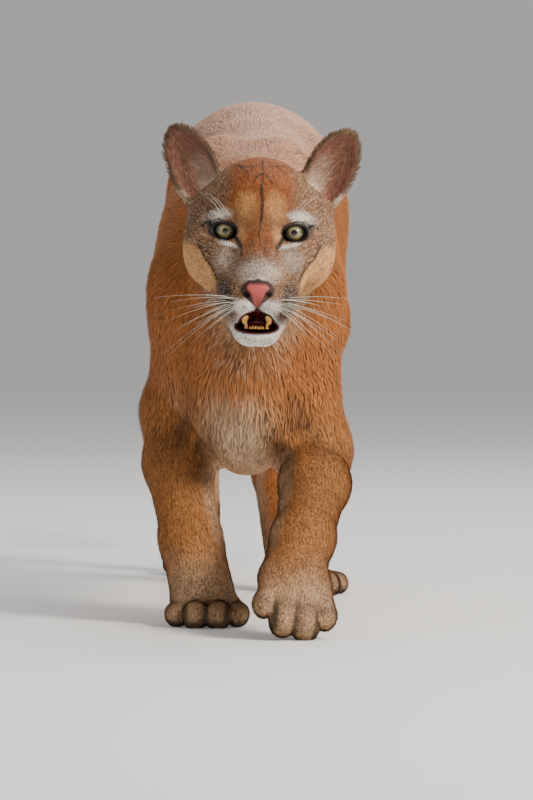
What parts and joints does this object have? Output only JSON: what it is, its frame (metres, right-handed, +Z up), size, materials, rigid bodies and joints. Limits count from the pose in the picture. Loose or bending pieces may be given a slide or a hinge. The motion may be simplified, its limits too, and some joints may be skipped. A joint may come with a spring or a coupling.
{
  "type": "cougar",
  "caption": "Life-size still cougar, walking towards the viewer with its head low, one foreleg reaching forward, mouth a little open and tail hanging behind.",
  "frame": {"origin": "on the floor under the middle of the whole animal, tail included", "axes": "+Z up, +Y towards the tail, +X towards the animal's left side; the face looks along -Y"},
  "size_m": [0.2668, 1.788, 0.64],
  "materials": {
    "coat": "short dense tawny fur, cream on the belly and chin, grizzled on face and paws",
    "eye": "glossy wet eye, yellow-green iris and round dark pupil",
    "tooth": "worn yellowed enamel",
    "tongue": "moist dark red flesh"
  },
  "bodies": {
    "root": {"head": "coat", "lower_jaw": "coat", "ear_left": "coat", "ear_right": "coat", "eye_left": "eye", "eye_right": "eye", "canine_left": "tooth", "canine_right": "tooth", "teeth_lower": "tooth", "tongue": "tongue", "neck": "coat", "torso": "coat", "foreleg_left": "coat", "foreleg_right": "coat", "hindleg_left": "coat", "hindleg_right": "coat", "front_paw_left": "coat", "front_paw_right": "coat", "hind_paw_left": "coat", "hind_paw_right": "coat", "tail_base": "coat", "tail_middle": "coat", "tail_tip": "coat"}
  },
  "joints": []
}
